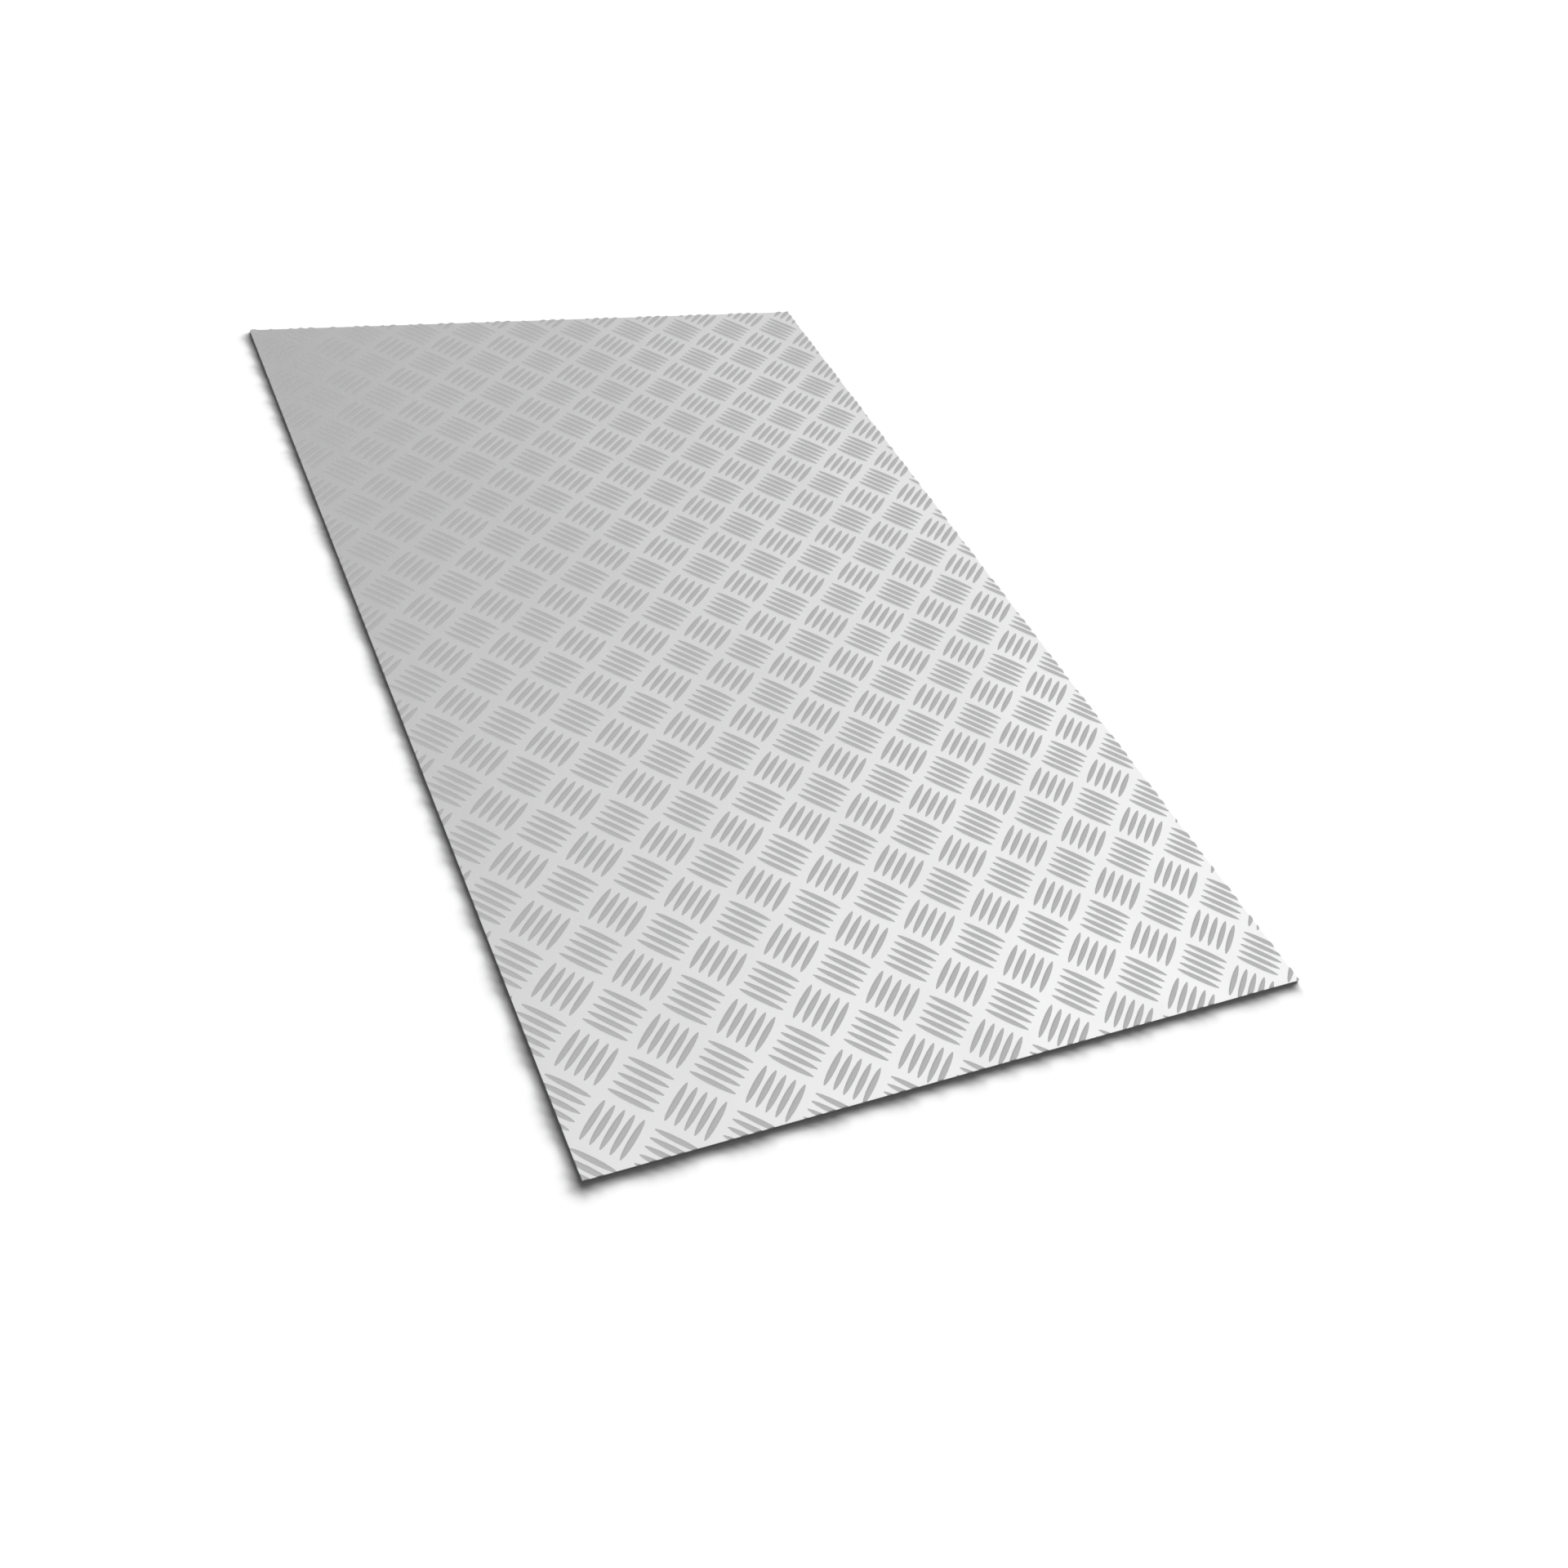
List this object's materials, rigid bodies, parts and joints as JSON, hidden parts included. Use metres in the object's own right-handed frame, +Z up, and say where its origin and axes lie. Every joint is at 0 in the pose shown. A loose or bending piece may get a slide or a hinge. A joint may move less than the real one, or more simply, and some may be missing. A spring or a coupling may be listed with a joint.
{
  "type": "aluminium checker plate",
  "caption": "Flat rectangular panel of rolled aluminium checker plate: five-bar tread on one face, smooth underside, plain sheared edges.",
  "frame": {"origin": "middle of the panel's underside", "axes": "+X across the panel (short side), +Y along its length (long side), +Z up out of the tread face"},
  "size_m": [0.6, 1, 0.002],
  "materials": {
    "mill_aluminium": "mill finish, satin, with a fine rolling grain"
  },
  "bodies": {
    "root": {"checker_plate": "mill_aluminium"}
  },
  "joints": []
}
